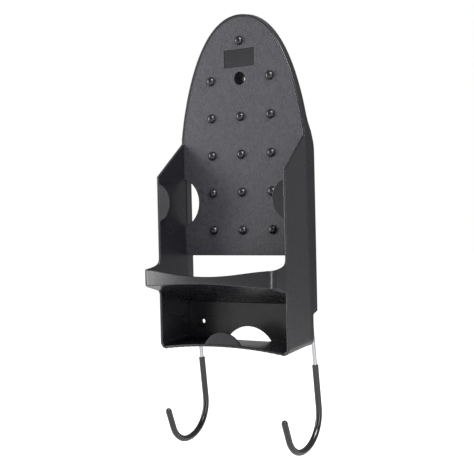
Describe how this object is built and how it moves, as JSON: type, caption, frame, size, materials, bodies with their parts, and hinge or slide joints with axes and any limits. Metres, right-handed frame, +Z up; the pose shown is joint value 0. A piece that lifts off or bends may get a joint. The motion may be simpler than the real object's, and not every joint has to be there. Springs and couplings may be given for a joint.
{
  "type": "wall-mounted iron holder with ironing board hooks",
  "caption": "Moulded wall holder: nubbed rest plate between side walls, a bowed hoop and tray below, and a swinging wire frame with dipped hooks.",
  "frame": {"origin": "on the wall face of the upper screw boss, straight above the screw, in the plane of the wall", "axes": "+Y into the wall, +Z up along the holder's length, +X to the right seen from the front"},
  "size_m": [0.1558, 0.0981, 0.4371],
  "materials": {
    "moulded_body": "satin walls, pebble-grained rest plate",
    "zinc_wire": "bright zinc plate",
    "vinyl_dip": "smooth satin dip"
  },
  "bodies": {
    "holder": {"holder_body": "moulded_body"},
    "hook_frame": {"hook_frame_wire": "zinc_wire", "hook_sleeve_left": "vinyl_dip", "hook_sleeve_right": "vinyl_dip"}
  },
  "joints": [
    {"name": "hook_frame_swing", "type": "hinge", "parent": "holder", "child": "hook_frame", "pos_m": [0, -0.0022, -0.2385], "axis": [1, 0, 0], "range_deg": [-9, 90]}
  ]
}
